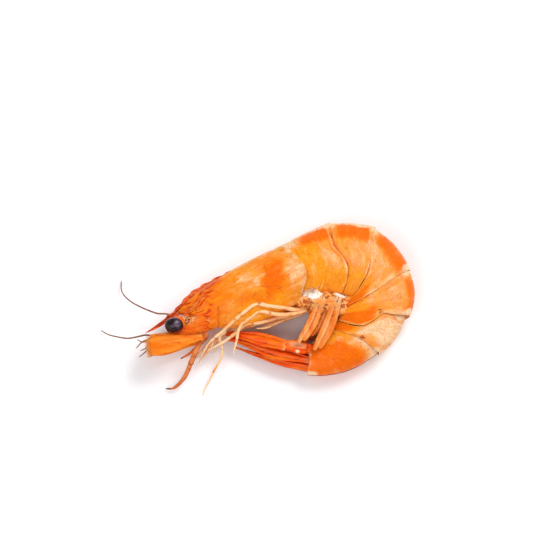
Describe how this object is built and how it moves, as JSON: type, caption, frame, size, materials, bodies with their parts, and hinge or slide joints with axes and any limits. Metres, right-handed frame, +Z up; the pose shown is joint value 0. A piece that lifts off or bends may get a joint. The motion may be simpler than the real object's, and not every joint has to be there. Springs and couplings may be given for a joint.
{
  "type": "cooked whiteleg shrimp",
  "caption": "Whole cooked shrimp in its orange shell, curled up and lying on its right side, with head, legs, feelers and tail fan on.",
  "frame": {"origin": "bottom centre of the shrimp's box as it lies on a table on its right side", "axes": "+Z up off the table, out of the left flank; the head points to -X, the back of the curl to +Y and the tail comes round on the -Y side"},
  "size_m": [0.1054, 0.0574, 0.0178],
  "materials": {
    "cooked_shell": "translucent cooked shell, satin, orange to peach",
    "head_shell": "thin orange shell of the head, satin",
    "black_eye": "black with a violet sheen, wet gloss",
    "tail_fan": "red-orange ribbed blades, satin",
    "pale_flesh": "white cooked flesh, moist",
    "whisker": "thin brown feelers, dull",
    "pale_leg": "cream to pale orange, satin"
  },
  "bodies": {
    "root": {"carapace": "cooked_shell", "head_front": "head_shell", "somite_1": "cooked_shell", "somite_2": "cooked_shell", "somite_3": "cooked_shell", "somite_4": "cooked_shell", "somite_5": "cooked_shell", "somite_6": "cooked_shell", "telson": "tail_fan", "uropod_base_left": "tail_fan", "uropod_base_right": "tail_fan", "uropod_left_outer": "tail_fan", "uropod_left_inner": "tail_fan", "uropod_right_inner": "tail_fan", "uropod_right_outer": "tail_fan", "eye_left": "black_eye", "eye_stalk_left": "head_shell", "scale_left": "head_shell", "feeler_root_left": "head_shell", "short_feeler_left_1": "whisker", "short_feeler_left_2": "whisker", "whisker_left": "whisker", "jaw_leg_left": "pale_leg", "leg_left_1": "pale_leg", "leg_left_2": "pale_leg", "leg_left_3": "pale_leg", "leg_left_4": "pale_leg", "leg_left_5": "pale_leg", "swimmeret_left_1": "pale_leg", "swimmeret_left_2": "pale_leg", "swimmeret_left_3": "pale_leg", "swimmeret_left_4": "pale_leg", "swimmeret_left_5": "pale_leg", "eye_right": "black_eye", "eye_stalk_right": "head_shell", "scale_right": "head_shell", "feeler_root_right": "head_shell", "short_feeler_right_1": "whisker", "short_feeler_right_2": "whisker", "whisker_right": "whisker", "jaw_leg_right": "pale_leg", "leg_right_1": "pale_leg", "leg_right_2": "pale_leg", "leg_right_3": "pale_leg", "leg_right_4": "pale_leg", "leg_right_5": "pale_leg", "swimmeret_right_1": "pale_leg", "swimmeret_right_2": "pale_leg", "swimmeret_right_3": "pale_leg", "swimmeret_right_4": "pale_leg", "swimmeret_right_5": "pale_leg", "belly_flesh": "pale_flesh"}
  },
  "joints": []
}
